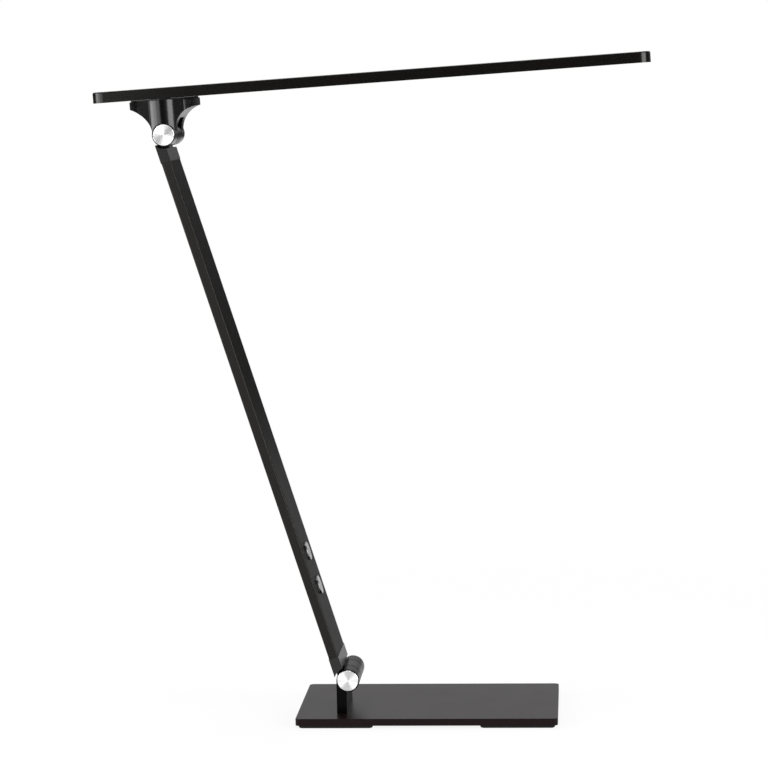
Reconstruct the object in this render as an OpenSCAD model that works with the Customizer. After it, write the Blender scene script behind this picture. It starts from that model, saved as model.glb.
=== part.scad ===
/* [Base] */
// Length of the base plate, along the head
base_len = 181.4; // [160:0.2:240]
// Depth of the base plate
base_wid = 104.4; // [84:0.2:160]
// Thickness of the base plate
base_thk = 4.8; // [4:0.1:8]
// Radius of the base plate's corners
base_corner_r = 3; // [1.5:0.5:20]
// Radius of the base plate's top edge
base_edge_r = 0.5; // [0.3:0.1:1.2]
// Length of each foot pad, along the head
pad_len = 51.6; // [30:0.2:70]
// Thickness of the foot pads
pad_thk = 2.4; // [1.5:0.1:4]
// Distance of the pads from the ends and sides of the base plate
pad_inset = 2; // [1:0.5:6]
// Radius of the foot pads' corners
pad_corner_r = 3; // [2:0.5:8]
// Rounding of the foot pads' lower edge
pad_edge_r = 1.2; // [0.4:0.1:1.4]

/* [Hinges] */
// Distance of the lower hinge from the middle of the base, along the head
post_x = -54.9; // [-70:0.1:-40]
// Place of the lamp's middle plane across the base
lamp_y = -13.4; // [-18:0.1:18]
// Height of the lower hinge above the base plate
post_height = 23.1; // [21:0.1:34]
// Radius of the hinge barrels
hinge_r = 8; // [7.6:0.1:10]
// Depth of the hinges from end to end
hinge_wid = 45; // [42:0.5:56]
// Width of the slot between the two ears of a hinge
slot_wid = 18; // [14:0.5:20]
// Thickness of the post and of the arm's inserts
leaf_thk = 7; // [6.8:0.1:7.6]
// Width of the gap that the inserts leave around the ears
scoop_gap = 1.4; // [0.8:0.1:2.5]
// Rounding at the outer edge of the ears
ear_edge = 0.4; // [0.2:0.1:0.8]
// Radius of the hinge bolts
bolt_r = 3; // [2:0.1:3.4]
// Radius of the hinge bolts' heads and nuts
bolt_head_r = 5; // [4.4:0.1:5.2]
// Thickness of the hinge bolts' heads
bolt_head_thk = 3; // [2:0.1:3.2]
// Thickness of the hinge nuts
nut_thk = 3.2; // [2:0.1:3.2]
// Thickness of one spring washer
spring_washer_thk = 0.7; // [0.4:0.1:0.7]
// Thickness of the friction washers beside the knuckle
friction_washer_thk = 0.9; // [0.5:0.1:1.5]
// Depth of the pockets that hold the bolt heads and nuts
pocket_depth = 5; // [4.8:0.1:5.8]
// Radius of the bright end caps
cap_r = 7.3; // [6.6:0.1:7.3]
// Thickness of the bright end caps
cap_thk = 1.5; // [1.1:0.1:1.8]
// Height by which the end caps stand out of the ears
cap_proud = 0.3; // [0.1:0.1:0.5]

/* [Post fittings] */
// Distance between the two screws under the post
post_screw_gap = 24; // [20:0.5:26]
// Radius of the screws under the post
post_screw_r = 1.9; // [1.2:0.1:2]
// Length of the screws under the post
post_screw_len = 12; // [10:0.5:13]
// Height of the power inlet's opening
socket_len = 9; // [8:0.1:10]
// Width of the power inlet
socket_thk = 3.3; // [2.8:0.1:3.6]
// Depth of the power inlet
socket_depth = 7.4; // [5:0.1:8]
// Thickness of the power inlet's shell
socket_wall = 0.3; // [0.2:0.05:0.4]
// Height of the power inlet above the base plate
socket_rise = 7.6; // [6:0.1:9]

/* [Arm] */
// Distance from hinge to hinge
arm_span = 398; // [300:0.1:460]
// Lean of the arm to the left of upright, as the lamp stands
arm_lean = 17.2; // [5:0.1:30]
// Thickness of the tube
tube_thk = 6.6; // [6.2:0.1:6.9]
// Depth by which the tube is narrower than the hinges
tube_step = 0.4; // [0:0.1:1]
// Wall of the tube
tube_wall = 1; // [0.8:0.1:1.1]
// Radius of the tube's corners
tube_corner_r = 0.9; // [0.5:0.1:1.5]
// Distance from each hinge to the end of the tube
tube_end = 18.2; // [14:0.1:26]
// Length of the inserts' tongues inside the tube
tongue_len = 22; // [16:1:30]
// Radius of the screws that hold the tube
insert_screw_r = 1.5; // [1:0.1:1.6]
// Length of the screws that hold the tube
insert_screw_len = 4.4; // [3:0.1:4.6]
// Distance between the two screws in each end of the tube
insert_screw_gap = 14; // [10:0.5:20]
// Radius of the lead inside the tube
lead_r = 1.1; // [0.8:0.1:1.2]
// Distance of the lead from the lamp's middle plane
lead_y = 17.5; // [17:0.1:18]

/* [Buttons] */
// Radius of the two buttons
button_r = 6.5; // [5:0.1:8]
// Height by which the buttons stand out of the tube
button_proud = 1.3; // [0.9:0.1:2]
// Travel of the buttons
button_travel = 0.6; // [0.3:0.05:0.6]
// Rounding at the top of the buttons
button_edge_r = 0.5; // [0.2:0.1:0.7]
// Distance from the lower hinge to the first button
button_first = 67; // [60:0.5:110]
// Distance between the two buttons
button_gap = 25.2; // [20:0.1:40]
// Width of the flange that holds each button in the tube
button_flange = 1; // [0.6:0.1:1.5]
// Thickness of that flange
button_flange_thk = 0.8; // [0.5:0.1:0.8]
// Gap around the buttons in the tube's wall
button_clear = 0.2; // [0.1:0.05:0.4]
// Thickness of the circuit board behind the buttons
board_thk = 0.8; // [0.6:0.1:0.8]
// Width of that circuit board
board_wid = 28; // [22:0.5:30]
// Height of the two switches on it
switch_thk = 0.8; // [0.6:0.1:0.8]

/* [Head] */
// Length of the head
head_len = 379.4; // [300:0.1:440]
// Width of the head
head_wid = 56; // [52:0.5:70]
// Thickness of the head
head_thk = 7.5; // [7:0.1:10]
// Radius of the head's corners, seen from above
head_corner_r = 8; // [4:0.1:12]
// Radius of the head's top edge
head_edge_r = 1; // [0.5:0.1:1.2]
// Wall of the head's housing
head_wall = 1.4; // [1.2:0.1:1.8]
// Top wall of the head's housing
head_top_wall = 1.2; // [0.8:0.1:1.4]
// Rise of the head to the right, as the lamp stands
head_rise = 3.1; // [0:0.1:12]
// Distance from the swivel to the head's left end
head_back = 45.9; // [40:0.1:60]
// Thickness of the cover in the head's underside
cover_thk = 1.3; // [1:0.1:1.6]
// Distance of the light window from the head's left end
window_start = 82; // [82:1:140]
// Distance of the light window from the head's right end
window_end = 16; // [16:1:40]
// Width of the light window
window_wid = 44; // [30:0.5:44]
// Thickness of the diffuser
diffuser_thk = 1.1; // [0.8:0.1:1.2]
// Width of the diffuser's rim behind the cover
diffuser_rim = 3; // [2.5:0.1:4]
// Thickness of the light guide
guide_thk = 3; // [2:0.1:3.1]
// Thickness of the reflector sheet
reflector_thk = 0.3; // [0.2:0.05:0.5]
// Thickness of the two boards that carry the lights
strip_thk = 0.8; // [0.6:0.1:1]
// Number of lights along each side of the window
chip_count = 30; // [12:1:40]
// Length of one light
chip_len = 2.8; // [2:0.1:3.4]
// Thickness of one light
chip_thk = 0.7; // [0.5:0.1:0.8]
// Height of one light
chip_height = 1.4; // [1:0.1:1.8]
// Radius of the screws in the cover
cover_screw_r = 1; // [0.7:0.1:1.2]
// Length of the screws in the cover
cover_screw_len = 4.2; // [3:0.1:4.6]
// Distance of the screws from the head's ends
cover_screw_inset = 8; // [7.5:0.5:9]
// Distance of the screws from the lamp's middle plane
cover_screw_y = 20; // [15:0.5:21]
// Length of the board in the head beside the bracket
driver_len = 22; // [14:0.5:24]
// Width of that board
driver_wid = 30; // [20:0.5:32]

/* [Bracket] */
// Distance from the upper hinge to the head's underside
neck_height = 24.6; // [24.2:0.1:32]
// Distance of the swivel to the left of the upper hinge
swivel_shift = 0.7; // [0:0.1:1.5]
// Radius of the bracket, seen from above
puck_r = 24.3; // [23.5:0.1:27]
// Thickness of the bracket's tips under the head
tip_thk = 5.2; // [4:0.1:6]
// Break of the bracket's upper edge
puck_edge = 0.5; // [0.2:0.1:1]
// Radius of the concave flare on the left
left_flare_r = 20.3; // [19:0.1:24]
// Depth by which the left flare's circle cuts into the hinge barrel's
left_flare_bite = 0.4; // [0.3:0.1:1.2]
// Radius of the concave flare on the right
right_flare_r = 16.8; // [16:0.1:22]
// Depth by which the right flare's circle cuts into the hinge barrel's
right_flare_bite = 0.1; // [0.1:0.1:0.9]
// Distance of the bracket's two flat faces from the lamp's middle plane
puck_flat = 18.6; // [17:0.1:21]
// Radius of the rounded noses over the ends of the hinge barrel
nose_r = 12; // [11:0.1:14]
// Distance of the noses from the ends of the hinge barrel
nose_inset = 0.3; // [0.2:0.1:1]
// Height of the fork's slot above the upper hinge
fork_height = 10.8; // [10.6:0.1:11.4]
// Thickness of the washer that the head turns on
swivel_washer_thk = 0.9; // [0.6:0.1:2]
// Width of the bracket's margin around that washer
swivel_washer_step = 1; // [0.5:0.1:4]
// Radius of the swivel bolt
swivel_r = 4; // [3.2:0.1:4.4]
// Radius of the swivel bolt's bore, for the lead
swivel_bore_r = 2; // [1.2:0.1:2.2]
// Radius of the swivel bolt's flange inside the head
swivel_flange_r = 9; // [7:0.1:10]
// Thickness of that flange
swivel_flange_thk = 1.5; // [1:0.1:1.8]
// Thickness of the swivel nut
swivel_nut_thk = 3.2; // [2.4:0.1:3.4]
// Radius of the swivel nut at its corners
swivel_nut_r = 6.8; // [6:0.1:7]
// Thickness of the spring washer over the swivel nut
swivel_spring_thk = 1.1; // [0.6:0.1:1.2]

/* [Clearances] */
// Gap between a shaft and its bore
run_gap = 0.05; // [0.02:0.01:0.08]
// Gap between flat faces that slide on each other
face_gap = 0.05; // [0.02:0.01:0.1]
// Gap between pieces that are fixed to each other
fit_gap = 0.1; // [0.05:0.01:0.15]

/* [Hidden] */
$fn = 64;
cut = 1; // how far a cutting shape runs past what it cuts
rubber_black = [0.05, 0.05, 0.05];
satin_black = [0.07, 0.07, 0.07];
base_grey = [0.32, 0.31, 0.3];
insert_grey = [0.42, 0.42, 0.43];
switch_grey = [0.2, 0.2, 0.2];
polymer = [0.4, 0.4, 0.4];
steel = [0.5, 0.5, 0.52];
bright_metal = [0.85, 0.85, 0.86];
milk_white = [0.95, 0.95, 0.92];
clear_grey = [0.85, 0.9, 0.95];
board_green = [0.1, 0.35, 0.18];
light_yellow = [1, 0.85, 0.35];
head_ratio = 1.9; // a countersunk head's radius over its shank's
boss_ratio = 2.4; // a screw boss's radius over its screw's
base_top = pad_thk + base_thk;
hinge_z = base_top + post_height;
half = hinge_wid / 2;
slot_half = slot_wid / 2;
knuckle_half = slot_half - friction_washer_thk - 2 * face_gap;
scoop_r = hinge_r + scoop_gap;
leaf_mid = leaf_thk / 2 - hinge_r;
washer_r = hinge_r - ear_edge;
cap_seat = half + cap_proud - cap_thk;
pocket_r = bolt_head_r + 2 * fit_gap;
pocket_floor = cap_seat - pocket_depth;
post_screw_head = head_ratio * post_screw_r;
upper_x = post_x - arm_span * sin(arm_lean);
upper_z = hinge_z + arm_span * cos(arm_lean);
tube_wid = hinge_wid - tube_step;
tube_front = leaf_mid + tube_thk / 2;
tube_back = leaf_mid - tube_thk / 2;
tongue_thk = tube_thk - 2 * tube_wall - 2 * fit_gap;
tongue_wid = tube_wid - 2 * tube_wall - 2 * fit_gap;
insert_head_r = insert_screw_r + tube_wall;
board_top = tube_back + tube_wall + board_thk;
board_margin = 9;
plunger_thk = 0.4;
plunger_top = board_top + switch_thk + plunger_thk;
switch_wid = 6;
stem_r = 1.5;
flange_top = tube_front - tube_wall;
puck_top = neck_height - swivel_washer_thk;
tip_bottom = puck_top - tip_thk;
nose_y = half - nose_inset - nose_r;
window_x0 = window_start - head_back;
window_x1 = head_len - head_back - window_end;
window_len = window_x1 - window_x0;
window_mid = (window_x0 + window_x1) / 2;
guide_bottom = cover_thk + diffuser_thk;
head_room = head_thk - head_top_wall;
head_mid = head_len / 2 - head_back;
cavity_len = head_len - 2 * head_wall;
cavity_wid = head_wid - 2 * head_wall;
cavity_corner_r = head_corner_r - head_wall;
chip_y = window_wid / 2 + fit_gap;
strip_y = chip_y + chip_thk;
strip_margin = 2; // from each end of the window to the end of a strip
strip_len = window_len - 2 * strip_margin;
strip_height = guide_thk + reflector_thk;
chip_pitch = strip_len / chip_count;
boss_r = boss_ratio * cover_screw_r;
cover_head_r = head_ratio * cover_screw_r;
boss_gap = 0.4; // between a screw boss and the diffuser's rim
driver_thk = 0.8;
driver_gap = 1; // between the driver board and the swivel bolt, and over its parts
coil_r = 3.6;
coil_spot = [7.4, -7.5]; // on the board, from the middle of its outer end
capacitor_size = [7.4, 6];
capacitor_spot = [4.4, 2];
capacitor_drop = 1; // by which it is lower than the coil
plug_size = [4.4, 15];
plug_spot = [15.4, -7.5];
nut_sink = 1; // of the swivel nut over the fork's slot
nut_room = 0.4; // around the swivel nut in its pocket
nut_bottom = fork_height + nut_sink;
swivel_ceiling = nut_bottom + swivel_nut_thk + swivel_spring_thk;
socket_tongue_thk = 0.7;
socket_tongue_side = 1.2;
socket_tongue_sink = 0.8;
socket_back = 0.9;
socket_ease = 0.075; // by which the shell's ends are less than half round

// Frames: the lower hinge, the arm from it, the upper hinge, the swivel, and the head on it

module at_lower_hinge() translate([post_x, lamp_y, hinge_z]) children();

module along_arm() at_lower_hinge() rotate([0, -arm_lean, 0]) children();

module at_arm_end() along_arm() translate([0, 0, arm_span]) children();

module at_bracket() translate([upper_x, lamp_y, upper_z]) rotate([0, -head_rise, 0]) children();

module at_swivel() at_bracket() translate([-swivel_shift, 0, 0]) children();

module in_head() at_swivel() translate([0, 0, neck_height]) children();

// Basic shapes

module box(low, high) translate(low) cube(high - low);

// A rod along Y from y0 to y1
module rod(r, y0, y1) translate([0, y0, 0]) rotate([-90, 0, 0]) cylinder(r = r, h = y1 - y0);

// A disc along Y with a chamfer on its edge at y1
module chamfered_rod(r, y0, y1, c)
    rotate([-90, 0, 0]) rotate_extrude()
        polygon(y1 > y0
            ? [[0, y0], [r, y0], [r, y1 - c], [r - c, y1], [0, y1]]
            : [[0, y1], [r - c, y1], [r, y1 + c], [r, y0], [0, y0]]);

module ring(r_out, r_in, h) rotate_extrude() translate([r_in, 0]) square([r_out - r_in, h]);

// A rectangle with true round corners, centred
module rounded_rect(l, w, r) {
    square([l - 2 * r, w], center = true);
    square([l, w - 2 * r], center = true);
    for (x = [-1, 1], y = [-1, 1]) translate([x * (l / 2 - r), y * (w / 2 - r)]) circle(r);
}

module rounded_plate(l, w, h, r) linear_extrude(h) rounded_rect(l, w, r);

// The outline of a plate's edge: r deep, h high, with its upper corner rounded by e
module edge_outline(r, h, e) {
    square([r - e, h]);
    square([r, h - e]);
    translate([r - e, h - e]) circle(e);
}

// A plate with corners of radius r and a top edge rounded by e: turned corners and straight sides
module soft_plate(l, w, h, r, e) {
    translate([0, 0, h / 2]) cube([l - 2 * r, w - 2 * r, h], center = true);
    for (turn = [0:3]) {
        long = turn % 2 == 0 ? l : w;
        wide = turn % 2 == 0 ? w : l;
        rotate([0, 0, 90 * turn]) {
            translate([long / 2 - r, wide / 2 - r, 0])
                rotate_extrude(angle = 90) edge_outline(r, h, e);
            translate([long / 2 - r, wide / 2 - r, 0])
                rotate([90, 0, 0]) linear_extrude(wide - 2 * r) edge_outline(r, h, e);
        }
    }
}

// A screw with a countersunk head: the head's top at z 0, the shank going up
module countersunk(r, head_r, len) {
    cylinder(r1 = head_r, r2 = r, h = head_r - r);
    cylinder(r = r, h = len);
}

// Hinge pieces, each about a hinge axis along Y

module ears()
    for (side = [-1, 1]) chamfered_rod(hinge_r, side * slot_half, side * half, ear_edge);

// What is cut out of a pair of ears: the bolt's bore, the pockets and the seats of the caps
module ear_bores() {
    rod(bolt_r + run_gap, -half, half);
    rod(pocket_r, pocket_floor, half);
    rod(pocket_r, -half, -pocket_floor);
    rod(cap_r + run_gap, cap_seat, half + cut);
    rod(cap_r + run_gap, -half - cut, -cap_seat);
}

module hinge_bolt() {
    difference() {
        rod(bolt_head_r, -pocket_floor - bolt_head_thk, -pocket_floor);
        translate([0, -pocket_floor - bolt_head_thk, 0])
            rotate([-90, 0, 0]) cylinder(r = bolt_r, h = bolt_head_thk, center = true, $fn = 6);
    }
    rod(bolt_r, -pocket_floor, pocket_floor + 2 * spring_washer_thk + nut_thk);
}

module hinge_nut()
    translate([0, pocket_floor + 2 * spring_washer_thk, 0]) rotate([-90, 0, 0]) difference() {
        cylinder(r = bolt_head_r, h = nut_thk, $fn = 6);
        translate([0, 0, -cut]) cylinder(r = bolt_r + run_gap, h = nut_thk + 2 * cut);
    }

module spring_washers()
    for (i = [0, 1]) translate([0, pocket_floor + i * spring_washer_thk, 0])
        rotate([-90, 0, 0]) ring(bolt_head_r, bolt_r + run_gap, spring_washer_thk - fit_gap);

module friction_washers()
    for (side = [0, 1]) rotate([0, 0, 180 * side]) translate([0, knuckle_half + face_gap, 0])
        rotate([-90, 0, 0]) ring(washer_r, bolt_r + run_gap, friction_washer_thk);

// A bright cap with its outer edge broken, side -1 for the front and 1 for the back
module end_cap(side) chamfered_rod(cap_r, side * cap_seat, side * (cap_seat + cap_thk), cap_proud);

// Base

module pad_shape()
    soft_plate(pad_len, base_wid - 2 * pad_inset, pad_thk, pad_corner_r, pad_edge_r);

module foot_pad(side) translate([side * (base_len / 2 - pad_inset - pad_len / 2), 0, 0])
    translate([0, 0, pad_thk]) mirror([0, 0, 1]) pad_shape();

module foot_pad_left() color(rubber_black) foot_pad(-1);

module foot_pad_right() color(rubber_black) foot_pad(1);

module at_post_screws()
    for (side = [-1, 1])
        translate([post_x + leaf_mid, lamp_y + side * post_screw_gap / 2, pad_thk]) children();

module base_plate() color(base_grey) difference() {
    translate([0, 0, pad_thk])
        soft_plate(base_len, base_wid, base_thk, base_corner_r, base_edge_r);
    at_post_screws()
        countersunk(post_screw_r + run_gap, post_screw_head + run_gap, base_thk + cut);
}

module post_screws() color(steel) at_post_screws()
    countersunk(post_screw_r, post_screw_head, post_screw_len);

module at_socket() at_lower_hinge()
    translate([leaf_mid, half, socket_rise - post_height]) rotate([90, 0, 0]) children();

module hinge_post() color(satin_black) difference() {
    at_lower_hinge() difference() {
        union() {
            ears();
            box([-hinge_r, -half, -post_height], [leaf_thk - hinge_r, half, 0]);
        }
        ear_bores();
        rod(scoop_r, -slot_half, slot_half);
    }
    at_post_screws() cylinder(r = post_screw_r + run_gap, h = post_screw_len + fit_gap);
    at_socket() translate([0, 0, -cut])
        rounded_plate(socket_thk + 2 * fit_gap, socket_len + 2 * fit_gap,
            socket_depth + cut + fit_gap, socket_thk / 2);
}

// The power inlet: a flat shell with a tongue in it, its mouth in the post's end face
module power_socket() color(steel) at_socket() {
    difference() {
        rounded_plate(socket_thk, socket_len, socket_depth, socket_thk / 2 - socket_ease);
        translate([0, 0, -cut])
            rounded_plate(socket_thk - 2 * socket_wall, socket_len - 2 * socket_wall,
                socket_depth - socket_back + cut, socket_thk / 2 - socket_wall - socket_ease);
    }
    box([-socket_tongue_thk / 2, socket_tongue_side - socket_len / 2, socket_tongue_sink],
        [socket_tongue_thk / 2, socket_len / 2 - socket_tongue_side, socket_depth]);
}

module lower_hinge_bolt() color(steel) at_lower_hinge() hinge_bolt();

module lower_hinge_nut() color(steel) at_lower_hinge() hinge_nut();

module lower_spring_washers() color(steel) at_lower_hinge() spring_washers();

module lower_friction_washers() color(polymer) at_lower_hinge() friction_washers();

module lower_cap_front() color(bright_metal) at_lower_hinge() end_cap(-1);

module lower_cap_back() color(bright_metal) at_lower_hinge() end_cap(1);

// Arm

module at_insert_screws(z)
    for (side = [-1, 1]) translate([tube_back, side * insert_screw_gap / 2, z])
        rotate([0, 90, 0]) children();

// An end piece about its hinge, with the arm going up from it
module hinge_insert() difference() {
    union() {
        difference() {
            box([-hinge_r, -half, 0], [leaf_thk - hinge_r, half, tube_end]);
            rod(scoop_r, -half - cut, half + cut);
        }
        box([-hinge_r, -knuckle_half, 0], [leaf_thk - hinge_r, knuckle_half, tube_end]);
        rod(hinge_r, -knuckle_half, knuckle_half);
        translate([leaf_mid, 0, tube_end])
            rounded_plate(tongue_thk, tongue_wid, tongue_len, tube_corner_r / 2);
    }
    rod(bolt_r + run_gap, -half, half);
    at_insert_screws(tube_end + tongue_len / 2)
        cylinder(r = insert_screw_r + run_gap, h = insert_screw_len + fit_gap);
    translate([leaf_mid, lead_y, 0])
        cylinder(r = lead_r + fit_gap, h = tube_end + tongue_len + cut);
}

module lower_insert() color(insert_grey) along_arm() hinge_insert();

module upper_insert() color(insert_grey) at_arm_end() mirror([0, 0, 1]) hinge_insert();

module at_buttons(face) for (i = [0, 1]) at_button(i, face) children();

module at_button(i, face)
    translate([face, 0, button_first + i * button_gap]) rotate([0, 90, 0]) children();

module arm_tube() color(satin_black) along_arm() difference() {
    translate([leaf_mid, 0, tube_end]) linear_extrude(arm_span - 2 * tube_end) difference() {
        rounded_rect(tube_thk, tube_wid, tube_corner_r);
        rounded_rect(tube_thk - 2 * tube_wall, tube_wid - 2 * tube_wall, tube_corner_r / 2);
    }
    at_buttons(flange_top - tube_wall / 2)
        cylinder(r = button_r + button_clear, h = 2 * tube_wall);
    for (z = [tube_end + tongue_len / 2, arm_span - tube_end - tongue_len / 2])
        at_insert_screws(z)
            countersunk(insert_screw_r + run_gap, insert_head_r + run_gap, 2 * tube_wall);
}

module insert_screws() color(steel) along_arm()
    for (z = [tube_end + tongue_len / 2, arm_span - tube_end - tongue_len / 2])
        at_insert_screws(z) countersunk(insert_screw_r, insert_head_r, insert_screw_len);

module switch_board() color(board_green) along_arm()
    box([board_top - board_thk, -board_wid / 2, button_first - board_margin],
        [board_top, board_wid / 2, button_first + button_gap + board_margin]);

module tact_switches() color(switch_grey) along_arm() at_buttons(board_top) {
    translate([0, 0, switch_thk / 2])
        cube([switch_wid, switch_wid, switch_thk], center = true);
    cylinder(r = stem_r, h = switch_thk + plunger_thk);
}

module arm_lead() color(switch_grey) along_arm() translate([leaf_mid, lead_y, scoop_r])
    cylinder(r = lead_r, h = arm_span - 2 * scoop_r);

// A round button: a cap through the tube's wall, a flange behind it and a stem to its switch
module button(i) along_arm() at_button(i, flange_top) rotate_extrude() {
    translate([0, -button_flange_thk])
        square([button_r + button_flange, button_flange_thk]);
    translate([0, -cut / 2])
        edge_outline(button_r, tube_wall + button_proud + cut / 2, button_edge_r);
    translate([0, plunger_top + button_travel + face_gap - flange_top])
        square([stem_r, flange_top - plunger_top - button_travel - face_gap]);
}

module power_button() color(insert_grey) button(1);

module dimmer_button() color(insert_grey) button(0);

// Bracket

// Middle of a flare's circle, seen from the front: it passes the corner of a tip at tip_x
// and runs into the hinge barrel
function flare_middle(tip_x, r, bite) =
    let (
        reach = norm([tip_x, tip_bottom]),
        offset = hinge_r + r - bite,
        spread = acos((reach ^ 2 + offset ^ 2 - r ^ 2) / (2 * reach * offset)),
        at = atan2(tip_x, tip_bottom) + spread
    ) offset * [sin(at), cos(at)];

// The space under one tip, hollowed by a circle: side -1 is the left
module flare(side, r, bite) {
    middle = flare_middle(puck_r - side * swivel_shift, r, bite);
    translate([side * middle[0], 0, middle[1]]) rod(r, -puck_r - cut, puck_r + cut);
}

// Outline of the bracket about the swivel, seen from above: two flat faces with a nose on each
module bracket_plan() {
    square([2 * puck_r + cut, 2 * puck_flat], center = true);
    for (side = [-1, 1]) translate([0, side * nose_y]) circle(nose_r);
}

// The bracket: a puck with flat faces, hollowed on both sides to a neck, its barrel and its fork
module head_bracket() color(satin_black) at_bracket() difference() {
    union() {
        ears();
        difference() {
            translate([-swivel_shift, 0, 0]) intersection() {
                rotate_extrude() polygon([
                    [0, 0], [puck_r, 0], [puck_r, puck_top - puck_edge],
                    [puck_r - puck_edge, puck_top], [0, puck_top]
                ]);
                translate([0, 0, -cut]) linear_extrude(puck_top + 2 * cut) bracket_plan();
            }
            flare(-1, left_flare_r, left_flare_bite);
            flare(1, right_flare_r, right_flare_bite);
        }
    }
    ear_bores();
    box([-2 * puck_r, -slot_half, -cut], [2 * puck_r, slot_half, fork_height]);
    translate([-swivel_shift, 0, 0]) {
        cylinder(r = swivel_nut_r + nut_room, h = swivel_ceiling);
        cylinder(r = swivel_r + run_gap, h = puck_top + cut);
    }
}

module upper_hinge_bolt() color(steel) at_bracket() hinge_bolt();

module upper_hinge_nut() color(steel) at_bracket() hinge_nut();

module upper_spring_washers() color(steel) at_bracket() spring_washers();

module upper_friction_washers() color(polymer) at_bracket() friction_washers();

module upper_cap_front() color(bright_metal) at_bracket() end_cap(-1);

module upper_cap_back() color(bright_metal) at_bracket() end_cap(1);

module swivel_washer() color(rubber_black) at_swivel() translate([0, 0, puck_top])
    ring(puck_r - swivel_washer_step, swivel_r + run_gap, swivel_washer_thk - face_gap);

// Head

module swivel_bolt() color(steel) at_swivel() difference() {
    union() {
        translate([0, 0, neck_height + cover_thk])
            cylinder(r = swivel_flange_r, h = swivel_flange_thk);
        translate([0, 0, nut_bottom]) cylinder(r = swivel_r, h = neck_height + cover_thk - nut_bottom);
    }
    translate([0, 0, nut_bottom - cut])
        cylinder(r = swivel_bore_r, h = neck_height + cover_thk + swivel_flange_thk);
}

module swivel_nut() color(steel) at_swivel() translate([0, 0, nut_bottom])
    difference() {
        cylinder(r = swivel_nut_r, h = swivel_nut_thk, $fn = 6);
        translate([0, 0, -cut]) cylinder(r = swivel_r + run_gap, h = swivel_nut_thk + 2 * cut);
    }

module swivel_spring_washer() color(steel) at_swivel()
    translate([0, 0, nut_bottom + swivel_nut_thk])
        ring(swivel_nut_r, swivel_r + run_gap, swivel_spring_thk - face_gap);

module at_cover_screws() {
    right = head_len - head_back - cover_screw_inset;
    inner = window_x0 - diffuser_rim - boss_r - boss_gap;
    for (x = [cover_screw_inset - head_back, inner, right], s = [-1, 1])
        translate([x, s * cover_screw_y, 0]) children();
}

module head_housing() color(satin_black) in_head() difference() {
    translate([head_mid, 0, 0])
        soft_plate(head_len, head_wid, head_thk, head_corner_r, head_edge_r);
    difference() {
        translate([head_mid, 0, -cut])
            rounded_plate(cavity_len, cavity_wid, head_room + cut, cavity_corner_r);
        at_cover_screws() translate([0, 0, cover_thk]) cylinder(r = boss_r, h = head_room);
    }
    at_cover_screws() cylinder(r = cover_screw_r + run_gap, h = cover_screw_len + fit_gap);
}

module head_cover() color(satin_black) in_head() difference() {
    translate([head_mid, 0, 0]) rounded_plate(cavity_len - 2 * fit_gap, cavity_wid - 2 * fit_gap,
        cover_thk, cavity_corner_r - fit_gap);
    translate([window_mid, 0, cover_thk / 2])
        cube([window_len, window_wid, cover_thk + cut], center = true);
    cylinder(r = swivel_r + run_gap, h = 2 * (cover_thk + cut), center = true);
    at_cover_screws()
        countersunk(cover_screw_r + run_gap, cover_head_r + run_gap, cover_thk + cut);
}

module cover_screws() color(steel) in_head() at_cover_screws()
    countersunk(cover_screw_r, cover_head_r, cover_screw_len);

// The diffuser: a pane in the window and a rim behind the cover
module diffuser() color(milk_white) in_head() translate([window_mid, 0, 0]) {
    translate([0, 0, cover_thk / 2 + fit_gap]) cube([window_len - 2 * fit_gap,
        window_wid - 2 * fit_gap, cover_thk], center = true);
    translate([0, 0, cover_thk + diffuser_thk / 2])
        cube([window_len + 2 * diffuser_rim, window_wid + 2 * diffuser_rim, diffuser_thk],
            center = true);
}

module light_guide() color(clear_grey) in_head()
    translate([window_mid, 0, guide_bottom + guide_thk / 2])
        cube([window_len, window_wid, guide_thk], center = true);

module reflector_sheet() color(milk_white) in_head()
    translate([window_mid, 0, guide_bottom + guide_thk + reflector_thk / 2])
        cube([window_len, window_wid, reflector_thk], center = true);

module led_strips() color(milk_white) in_head()
    for (s = [0, 180]) translate([window_mid, 0, guide_bottom]) rotate([0, 0, s])
        translate([-strip_len / 2, strip_y, 0]) cube([strip_len, strip_thk, strip_height]);

module led_chips() color(light_yellow) in_head()
    for (s = [0, 180], i = [0:chip_count - 1])
        translate([window_mid, 0, guide_bottom + guide_thk / 2]) rotate([0, 0, s])
            translate([(i + 0.5) * chip_pitch - strip_len / 2, chip_y + chip_thk / 2, 0])
                cube([chip_len, chip_thk, chip_height], center = true);

// The driver board, with a coil, a capacitor and a connector on it
module driver_board() color(board_green) in_head()
    translate([-swivel_flange_r - driver_gap - driver_len, 0, cover_thk]) {
        room = head_room - cover_thk - driver_gap;
        translate([0, -driver_wid / 2, 0]) cube([driver_len, driver_wid, driver_thk]);
        translate(coil_spot) cylinder(r = coil_r, h = room);
        translate(capacitor_spot)
            linear_extrude(room - capacitor_drop) square(capacitor_size);
        translate(plug_spot) linear_extrude(room) square(plug_size);
    }

base_plate();
foot_pad_left();
foot_pad_right();
post_screws();
hinge_post();
power_socket();
lower_hinge_bolt();
lower_hinge_nut();
lower_spring_washers();
lower_friction_washers();
lower_cap_front();
lower_cap_back();
lower_insert();
arm_tube();
upper_insert();
insert_screws();
switch_board();
tact_switches();
arm_lead();
power_button();
dimmer_button();
head_bracket();
upper_hinge_bolt();
upper_hinge_nut();
upper_spring_washers();
upper_friction_washers();
upper_cap_front();
upper_cap_back();
swivel_washer();
swivel_bolt();
swivel_nut();
swivel_spring_washer();
head_housing();
head_cover();
cover_screws();
diffuser();
light_guide();
reflector_sheet();
led_strips();
led_chips();
driver_board();
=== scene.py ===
import math

import bmesh
import bpy
from mathutils import Matrix, Vector


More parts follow.
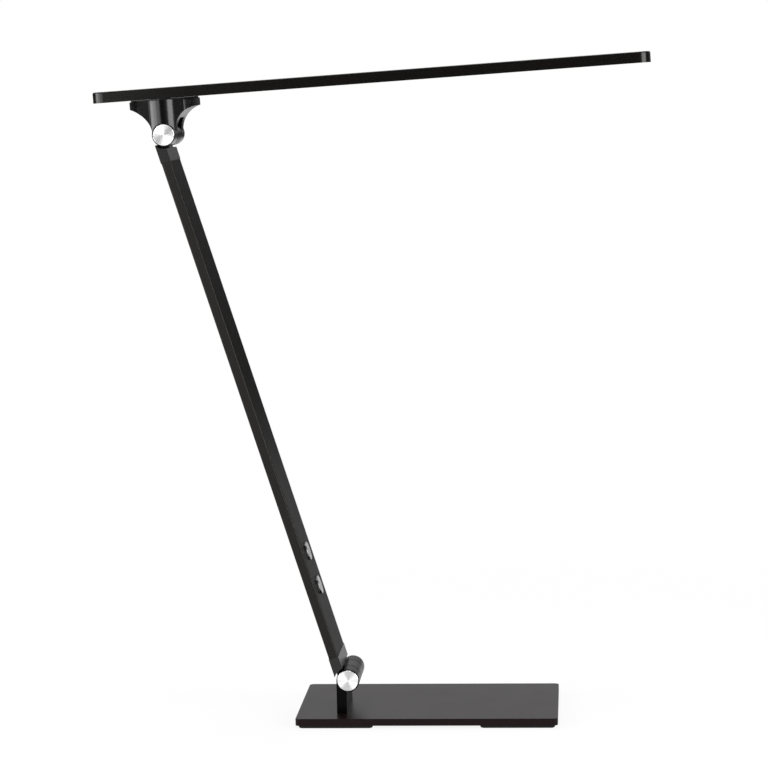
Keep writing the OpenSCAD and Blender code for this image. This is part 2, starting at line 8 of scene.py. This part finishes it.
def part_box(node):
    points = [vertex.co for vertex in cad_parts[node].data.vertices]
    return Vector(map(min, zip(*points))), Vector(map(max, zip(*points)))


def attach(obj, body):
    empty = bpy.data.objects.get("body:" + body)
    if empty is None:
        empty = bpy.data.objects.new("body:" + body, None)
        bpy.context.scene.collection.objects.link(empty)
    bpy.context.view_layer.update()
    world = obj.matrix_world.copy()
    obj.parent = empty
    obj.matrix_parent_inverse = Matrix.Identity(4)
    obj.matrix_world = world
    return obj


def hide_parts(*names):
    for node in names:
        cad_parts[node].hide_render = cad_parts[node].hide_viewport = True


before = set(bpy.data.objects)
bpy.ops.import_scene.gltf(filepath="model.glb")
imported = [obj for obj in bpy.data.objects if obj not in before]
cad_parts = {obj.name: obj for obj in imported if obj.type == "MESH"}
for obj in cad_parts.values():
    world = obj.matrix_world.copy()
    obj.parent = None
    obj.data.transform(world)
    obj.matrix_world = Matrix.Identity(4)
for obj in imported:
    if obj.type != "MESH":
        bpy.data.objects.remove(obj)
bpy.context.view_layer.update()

MM = 0.001
LEAN = math.radians(17.2)    # of the arm, to the left of upright
RISE = math.radians(3.1)     # of the head, to the right

# ---------------------------------------------------------------- camera

CAMERA_AT = (0.1077, -1.80608, 0.45112)
YAW, PITCH, ROLL = (math.radians(a) for a in (4.3, 6.85, -1.18))
LENS = 122.36


def make_camera():
    forward = Vector((-math.sin(YAW) * math.cos(PITCH), math.cos(YAW) * math.cos(PITCH),
                      -math.sin(PITCH)))
    level = forward.cross(Vector((0, 0, 1))).normalized()
    above = level.cross(forward)
    right = level * math.cos(ROLL) + above * math.sin(ROLL)
    up = above * math.cos(ROLL) - level * math.sin(ROLL)
    data = bpy.data.cameras.new("camera")
    data.sensor_width = 36
    data.lens = LENS
    data.clip_start = 0.05
    data.clip_end = 100
    camera = bpy.data.objects.new("camera", data)
    bpy.context.scene.collection.objects.link(camera)
    turn = Matrix((right, up, -forward)).transposed().to_4x4()
    camera.matrix_world = Matrix.Translation(CAMERA_AT) @ turn
    bpy.context.scene.camera = camera


# ---------------------------------------------------------------- node trees


class Tree:
    """A short way to write a node tree."""

    def __init__(self, tree):
        self.tree = tree
        tree.nodes.clear()

    def add(self, kind, settings=None, **inputs):
        node = self.tree.nodes.new(kind)
        for key, value in (settings or {}).items():
            setattr(node, key, value)
        for key, value in inputs.items():
            self.put(node, key.replace("_", " "), value)
        return node

    def put(self, node, key, value):
        socket = node.inputs[key]
        if isinstance(value, bpy.types.NodeSocket):
            self.tree.links.new(value, socket)
        elif isinstance(value, bpy.types.Node):
            self.tree.links.new(value.outputs[0], socket)
        else:
            socket.default_value = value

    def math(self, operation, a, b=None, c=None, clamp=False):
        node = self.add("ShaderNodeMath", {"operation": operation, "use_clamp": clamp})
        for i, value in enumerate((a, b, c)):
            if value is not None:
                self.put(node, i, value)
        return node.outputs[0]

    def mix(self, factor, a, b, kind="MIX"):
        node = self.add("ShaderNodeMix", {"data_type": "RGBA", "blend_type": kind})
        for i, value in ((0, factor), (6, a), (7, b)):
            self.put(node, i, value)
        return node.outputs[2]

    def ramp(self, value, low, high, to_low=0.0, to_high=1.0, kind="SMOOTHSTEP"):
        node = self.add("ShaderNodeMapRange", {"interpolation_type": kind})
        for i, v in enumerate((value, low, high, to_low, to_high)):
            self.put(node, i, v)
        return node.outputs[0]


def grey(v, warm=0.0):
    return (v * (1 + warm), v, v * (1 - warm), 1)


# ---------------------------------------------------------------- materials


def surface(name, base, roughness, metallic=0.0, specular=0.5, coat=0.0, coat_roughness=0.1,
            bevel=0.0, **extra):
    """A material with its principled shader: returns the material, its tree and the shader."""
    material = bpy.data.materials.new(name)
    material.use_nodes = True
    t = Tree(material.node_tree)
    shader = t.add("ShaderNodeBsdfPrincipled")
    out = t.add("ShaderNodeOutputMaterial")
    t.put(out, "Surface", shader)
    t.put(shader, "Base Color", base)
    t.put(shader, "Roughness", roughness)
    t.put(shader, "Metallic", metallic)
    t.put(shader, "Specular IOR Level", specular)
    t.put(shader, "Coat Weight", coat)
    t.put(shader, "Coat Roughness", coat_roughness)
    for key, value in extra.items():
        t.put(shader, key.replace("_", " "), value)
    material.diffuse_color = base
    return material, t, shader


def place(t, turn=None, scale=None, about=None):
    """The piece's own place in millimetres, turned about Y and stretched, or about a centre."""
    coords = t.add("ShaderNodeTexCoord").outputs["Object"]
    if about is not None:
        coords = t.add("ShaderNodeVectorMath", {"operation": "SUBTRACT"})
        t.put(coords, 0, t.tree.nodes[-2].outputs["Object"])
        t.put(coords, 1, about)
        coords = coords.outputs[0]
    node = t.add("ShaderNodeMapping", {"vector_type": "POINT"})
    t.put(node, "Vector", coords)
    if turn is not None:
        t.put(node, "Rotation", turn)
        first = node
        node = t.add("ShaderNodeMapping", {"vector_type": "POINT"})
        t.put(node, "Vector", first)
    s = scale or (1, 1, 1)
    t.put(node, "Scale", tuple(1 / MM * v for v in s))
    return node.outputs[0]


def noise(t, where, size, detail=2.0, rough=0.5):
    """Noise whose grains are about size millimetres across, from 0 to 1."""
    node = t.add("ShaderNodeTexNoise", {"noise_dimensions": "3D"})
    t.put(node, "Vector", where)
    t.put(node, "Scale", 1 / size)
    t.put(node, "Detail", detail)
    t.put(node, "Roughness", rough)
    return node.outputs[0]


def spread(t, value, middle, by):
    """A value from 0 to 1 turned into one around middle."""
    return t.math("MULTIPLY_ADD", value, 2 * by, middle - by)


def vary(t, shader, base, where, size, by):
    """The base colour, a little lighter and darker from place to place."""
    dark = tuple(v * (1 - by) for v in base[:3]) + (1,)
    light = tuple(v * (1 + by) for v in base[:3]) + (1,)
    t.put(shader, "Base Color", t.mix(noise(t, where, size, 3.0), dark, light))


def bumped(t, shader, height, depth, strength=1.0, also=None):
    node = t.add("ShaderNodeBump", Height=height)
    t.put(node, "Strength", strength)
    t.put(node, "Distance", depth * MM)
    if also is not None:
        t.put(node, "Normal", also)
    t.put(shader, "Normal", node.outputs[0])
    return node


def coated(name, base, roughness, grain, depth, specular=0.5, spot=40.0, by=0.06, **more):
    """Sprayed paint, moulded plastic or blasted metal: fine grain, uneven gloss and colour."""
    material, t, shader = surface(name, base, roughness, specular=specular, **more)
    where = place(t)
    vary(t, shader, base, where, spot, by)
    gloss = t.mix(0.5, noise(t, where, spot * 0.6, 3.0), noise(t, where, 1.5, 2.0))
    t.put(shader, "Roughness", spread(t, gloss, roughness, 0.12 * roughness))
    bumped(t, shader, noise(t, where, grain, 3.0, 0.6), depth)
    return material


def drawn(name, base, roughness, turn, metallic=0.0, specular=0.5, lines=0.25, depth=0.002,
          by=0.06, **more):
    """Drawn or rolled metal with fine lines along the local Z direction."""
    material, t, shader = surface(name, base, roughness, metallic, specular, **more)
    along = place(t, turn=(0, turn, 0), scale=(1, 1, 0.01))
    where = place(t)
    vary(t, shader, base, along, 2.0, by)
    gloss = t.mix(0.4, noise(t, along, lines * 3, 2.0), noise(t, where, 30, 3.0))
    t.put(shader, "Roughness", spread(t, gloss, roughness, 0.15 * roughness))
    fine = t.mix(0.35, noise(t, along, lines, 2.0), noise(t, where, 0.35, 2.0))
    bumped(t, shader, fine, depth)
    return material


def spun(name, base, roughness, centre, pitch=0.3, depth=0.002, turn=None, anisotropy=0.9,
         axis="Y", lay=0.25):
    """Turned metal: fine grooves in circles about the piece's own axis through its centre."""
    material, t, shader = surface(name, base, roughness, metallic=1.0)
    t.put(shader, "Anisotropic", anisotropy)
    t.put(shader, "Anisotropic Rotation", lay)
    tangent = t.add("ShaderNodeTangent", {"direction_type": "RADIAL", "axis": axis})
    t.put(shader, "Tangent", tangent)
    where = place(t, about=centre, turn=turn)
    parts = t.add("ShaderNodeSeparateXYZ", Vector=where)
    first, second = {"Y": (0, 2), "X": (1, 2), "Z": (0, 1)}[axis]
    a, b = parts.outputs[first], parts.outputs[second]
    radius = t.math("SQRT", t.math("ADD", t.math("MULTIPLY", a, a), t.math("MULTIPLY", b, b)))
    ring = t.add("ShaderNodeCombineXYZ", X=radius)
    grooves = noise(t, ring.outputs[0], pitch, 3.0, 0.7)
    vary(t, shader, base, ring.outputs[0], 1.2, 0.05)
    t.put(shader, "Roughness", spread(t, grooves, roughness, 0.25 * roughness))
    bumped(t, shader, grooves, depth)
    return material


# ---------------------------------------------------------------- looks of the CAD nodes


def middle(node):
    low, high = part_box(node)
    return (low + high) / 2


def dress():
    paint = coated("base_paint", (0.007, 0.003, 0.0035, 1), 0.34, 0.35, 0.012, specular=0.1)
    rubber = coated("pad_rubber", grey(0.008), 0.75, 0.5, 0.03, specular=0.2)
    post = coated("post_paint", grey(0.001), 0.28, 0.3, 0.004, specular=0.05)
    bracket = coated("bracket_paint", grey(0.001), 0.2, 0.3, 0.002, specular=0.4)
    tube = drawn("arm_anodised", grey(0.022, 0.04), 0.34, -LEAN, metallic=0.75, specular=0.1,
                 Specular_Tint=grey(0.14))
    insert = drawn("insert_metal", grey(0.04), 0.28, -LEAN, metallic=1.0,
                   Specular_Tint=grey(0.65))
    head = drawn("head_anodised", grey(0.003, 0.12), 0.20, math.pi / 2 - RISE, specular=0.3)
    cover = coated("cover_plastic", grey(0.03), 0.55, 0.6, 0.02)
    milk = coated("diffuser_milk", grey(0.86, 0.01), 0.42, 0.8, 0.01, by=0.01,
                  Subsurface_Weight=0.3, Subsurface_Scale=0.004)
    clear = coated("guide_clear", (0.8, 0.86, 0.88, 1), 0.12, 2.0, 0.002, Transmission_Weight=0.8)
    white = coated("reflector_white", grey(0.88), 0.5, 0.5, 0.004, by=0.01)
    board = coated("board_green", (0.02, 0.11, 0.05, 1), 0.35, 0.8, 0.01, by=0.15)
    strip = coated("strip_board", grey(0.8, 0.02), 0.45, 0.5, 0.004)
    chip = coated("chip_yellow", (0.9, 0.62, 0.12, 1), 0.3, 0.5, 0.004)
    switch = coated("switch_black", grey(0.03), 0.5, 0.4, 0.01)
    polymer = coated("washer_polymer", grey(0.004), 0.5, 0.4, 0.01, specular=0.2)
    jacket = coated("lead_jacket", grey(0.02), 0.5, 0.6, 0.02)
    steel = drawn("steel", grey(0.52), 0.32, 0.0, metallic=1.0)
    looks = {
        paint: ["base_plate"],
        rubber: ["foot_pad_left", "foot_pad_right"],
        post: ["hinge_post"],
        bracket: ["head_bracket"],
        tube: ["arm_tube"],
        insert: ["lower_insert", "upper_insert"],
        head: ["head_housing"],
        cover: ["head_cover"],
        milk: ["diffuser"],
        clear: ["light_guide"],
        white: ["reflector_sheet"],
        board: ["switch_board", "driver_board"],
        strip: ["led_strips"],
        chip: ["led_chips"],
        switch: ["tact_switches"],
        polymer: ["lower_friction_washers", "upper_friction_washers", "swivel_washer"],
        jacket: ["arm_lead"],
        steel: ["post_screws", "power_socket", "insert_screws", "cover_screws",
                "lower_hinge_bolt", "lower_hinge_nut", "lower_spring_washers",
                "upper_hinge_bolt", "upper_hinge_nut", "upper_spring_washers",
                "swivel_bolt", "swivel_nut", "swivel_spring_washer"],
    }
    for cap in ("lower_cap_front", "lower_cap_back", "upper_cap_front", "upper_cap_back"):
        lay = 0.375 if cap.startswith("upper") else 0.25
        looks[spun("spun_" + cap, grey(0.9), 0.32, middle(cap), lay=lay)] = [cap]
    for button in ("power_button", "dimmer_button"):
        looks[spun("spun_" + button, grey(0.32), 0.3, middle(button), turn=(0, -LEAN, 0),
                   anisotropy=0.5, axis="X")] = [button]
    for material, names in looks.items():
        for name in names:
            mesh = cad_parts[name].data
            mesh.materials.clear()
            mesh.materials.append(material)
    left = set(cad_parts) - {n for names in looks.values() for n in names}
    assert not left, left


# ---------------------------------------------------------------- screws


def solids_of(node):
    """The corners of each separate solid of a CAD node."""
    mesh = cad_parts[node].data
    points = [v.co.copy() for v in mesh.vertices]
    first = {}
    group = [first.setdefault(tuple(round(c, 6) for c in p), i) for i, p in enumerate(points)]

    def root(i):
        while group[i] != i:
            group[i] = group[group[i]]
            i = group[i]
        return i

    for edge in mesh.edges:
        a, b = (root(i) for i in edge.vertices)
        group[a] = b
    found = {}
    for i, p in enumerate(points):
        found.setdefault(root(i), []).append(p)
    return list(found.values())


def screw(into, low, shank_end, head_r, shank_r, turn):
    """A countersunk screw with a cross recess, along Z, put into a bmesh at its place."""
    count = 32
    rim = 0.06 * head_r
    rows = [(head_r - rim, 0), (head_r, rim), (shank_r, head_r - shank_r),
            (shank_r, shank_end - 0.2 * shank_r), (0.8 * shank_r, shank_end)]
    rings = []
    for r, z in rows:
        rings.append([into.verts.new((r * math.cos(2 * math.pi * i / count),
                                      r * math.sin(2 * math.pi * i / count), z))
                      for i in range(count)])
    for lower, upper in zip(rings, rings[1:]):
        for i in range(count):
            j = (i + 1) % count
            into.faces.new((lower[i], lower[j], upper[j], upper[i]))
    into.faces.new(rings[-1])
    arm, wide, deep = 0.62 * head_r, 0.15 * head_r, 0.45 * head_r
    corner = [(arm, -wide), (arm, wide), (wide, wide)]
    loop = [(x * math.cos(a) - y * math.sin(a), x * math.sin(a) + y * math.cos(a))
            for a in (turn + k * math.pi / 2 for k in range(4)) for x, y in corner]
    mouth = [into.verts.new((x, y, 0)) for x, y in loop]
    floor = [into.verts.new((0.7 * x, 0.7 * y, deep)) for x, y in loop]
    around = len(loop)
    edges = [into.edges.new((mouth[i], mouth[(i + 1) % around])) for i in range(around)]
    edges += [into.edges.get((rings[0][i], rings[0][(i + 1) % count])) for i in range(count)]
    bmesh.ops.triangle_fill(into, edges=edges, use_beauty=True)
    for i in range(around):
        j = (i + 1) % around
        into.faces.new((mouth[i], mouth[j], floor[j], floor[i]))
    into.faces.new(floor)
    made = [v for ring in rings for v in ring] + mouth + floor
    bmesh.ops.transform(into, matrix=low, verts=made)


def make_screws(node, body, axis, material):
    """Screws with cross recesses in place of a node's plain ones; axis points into the lamp."""
    axis = Vector(axis).normalized()
    mesh = bmesh.new()
    for k, points in enumerate(solids_of(node)):
        heights = [p.dot(axis) for p in points]
        low, high = min(heights), max(heights)
        top = [p for p, h in zip(points, heights) if h < low + 1e-5]
        end = [p for p, h in zip(points, heights) if h > high - 1e-5]
        centre = sum(end, Vector()) / len(end)
        centre -= (centre.dot(axis) - low) * axis
        radius = max((p - centre).length for p in top)
        shank = max((p - centre - (high - low) * axis).length for p in end)
        place_at = Matrix.Translation(centre) @ axis.to_track_quat("Z", "X").to_matrix().to_4x4()
        screw(mesh, place_at, high - low, radius, shank, 0.35 + 1.1 * k)
    bmesh.ops.recalc_face_normals(mesh, faces=mesh.faces)
    data = bpy.data.meshes.new(node + "_cross")
    mesh.to_mesh(data)
    mesh.free()
    obj = bpy.data.objects.new(node + "_cross", data)
    bpy.context.scene.collection.objects.link(obj)
    data.materials.append(material)
    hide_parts(node)
    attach(obj, body)


def fit_screws():
    steel = spun("screw_steel", grey(0.5), 0.3, (0, 0, 0), anisotropy=0.0)
    make_screws("post_screws", "base", (0, 0, 1), steel)
    make_screws("insert_screws", "arm", (math.cos(LEAN), 0, math.sin(LEAN)), steel)
    make_screws("cover_screws", "head", (-math.sin(RISE), 0, math.cos(RISE)), steel)


# ---------------------------------------------------------------- studio


def plane(name, size, z=0.0):
    mesh = bpy.data.meshes.new(name)
    s = size / 2
    mesh.from_pydata([(-s, -s, z), (s, -s, z), (s, s, z), (-s, s, z)], [], [(0, 1, 2, 3)])
    obj = bpy.data.objects.new(name, mesh)
    bpy.context.scene.collection.objects.link(obj)
    return obj


def make_floor():
    """A white floor: the camera and mirrors see it white, with the object's soft shadow."""
    floor = plane("floor", 6)
    material = bpy.data.materials.new("floor")
    material.use_nodes = True
    t = Tree(material.node_tree)
    path = t.add("ShaderNodeLightPath")
    shown = t.math("MAXIMUM", path.outputs["Is Camera Ray"],
                   t.math("MAXIMUM", path.outputs["Is Glossy Ray"],
                          path.outputs["Is Transmission Ray"]))
    spot = t.add("ShaderNodeNewGeometry")
    away = t.add("ShaderNodeVectorMath", {"operation": "LENGTH"}, Vector=spot.outputs["Position"])
    glow_share = t.ramp(away.outputs["Value"], 0.25, 0.7, 0.88, 1.0)
    faded = t.add("ShaderNodeMixShader")
    t.put(faded, 0, t.math("MULTIPLY", shown, glow_share))
    t.put(faded, 1, t.add("ShaderNodeBsdfDiffuse", Color=grey(0.9)))
    t.put(faded, 2, t.add("ShaderNodeEmission", Color=(1, 1, 1, 1), Strength=1.0))
    sided = t.add("ShaderNodeMixShader")
    t.put(sided, 0, spot.outputs["Backfacing"])
    t.put(sided, 1, faded)
    t.put(sided, 2, t.add("ShaderNodeBsdfTransparent"))
    out = t.add("ShaderNodeOutputMaterial")
    t.put(out, "Surface", sided)
    floor.data.materials.append(material)


def make_world():
    """White to the camera; dim in front, with a pale backdrop that rises behind the lamp."""
    world = bpy.data.worlds.new("studio")
    bpy.context.scene.world = world
    world.use_nodes = True
    t = Tree(world.node_tree)
    path = t.add("ShaderNodeLightPath")
    towards = t.add("ShaderNodeSeparateXYZ",
                    Vector=t.add("ShaderNodeTexCoord").outputs["Generated"])
    x, y, z = towards.outputs
    behind = t.math("MULTIPLY", t.ramp(y, 0.1, 0.7), t.ramp(z, -0.02, 0.2, 0.08, 0.95))
    around = t.math("ARCTAN2", x, t.math("MULTIPLY", y, -1))
    fill = t.math("MULTIPLY", t.ramp(around, 0.05, 0.5), t.ramp(around, 1.6, 1.2))
    room = t.math("MULTIPLY_ADD", fill, 0.25, 0.02)
    backdrop = t.math("MAXIMUM", behind, room)
    seen = t.math("MAXIMUM", path.outputs["Is Camera Ray"], path.outputs["Is Transmission Ray"])
    mirrored = t.math("MULTIPLY", path.outputs["Is Glossy Ray"], behind)
    back = t.add("ShaderNodeBackground", Color=(1, 1, 1, 1))
    t.put(back, "Strength", t.math("MAXIMUM", t.math("MAXIMUM", seen, mirrored), backdrop))
    out = t.add("ShaderNodeOutputWorld")
    t.put(out, "Surface", back)


def softbox(name, azimuth, distance, width, height, level, about=(-0.12, 0, 0.36), lift=0.0):
    """A lit panel of brightness level that stands round the lamp; azimuth 0 is the front."""
    a = math.radians(azimuth)
    aim = Vector(about)
    at = aim + Vector((distance * math.sin(a), -distance * math.cos(a), lift))
    lamp(name, at, aim, width, height, level * math.pi * width * height)


def lamp(name, at, aim, width, height, watts):
    data = bpy.data.lights.new(name, "AREA")
    data.shape = "RECTANGLE"
    data.size = width
    data.size_y = height
    data.energy = watts
    obj = bpy.data.objects.new(name, data)
    obj.matrix_world = (Matrix.Translation(at)
                        @ (Vector(at) - Vector(aim)).to_track_quat("Z", "Y").to_matrix().to_4x4())
    bpy.context.scene.collection.objects.link(obj)
    obj.visible_camera = False


def make_lights():
    softbox("left_front_box", -28, 1.6, 0.70, 1.3, 3.0)
    softbox("left_box", -51, 1.6, 0.62, 1.3, 6.0)
    softbox("left_back_box", -72, 1.6, 0.60, 1.3, 8.0)
    softbox("right_box", 55, 1.6, 1.02, 1.3, 7.0)
    lamp("top_box", Vector((-0.1, 0.1, 1.9)), Vector((-0.1, 0, 0.2)), 1.2, 0.8, 18)


make_camera()
make_world()
make_lights()
make_floor()
dress()
fit_screws()

bpy.context.scene.view_settings.view_transform = "Standard"
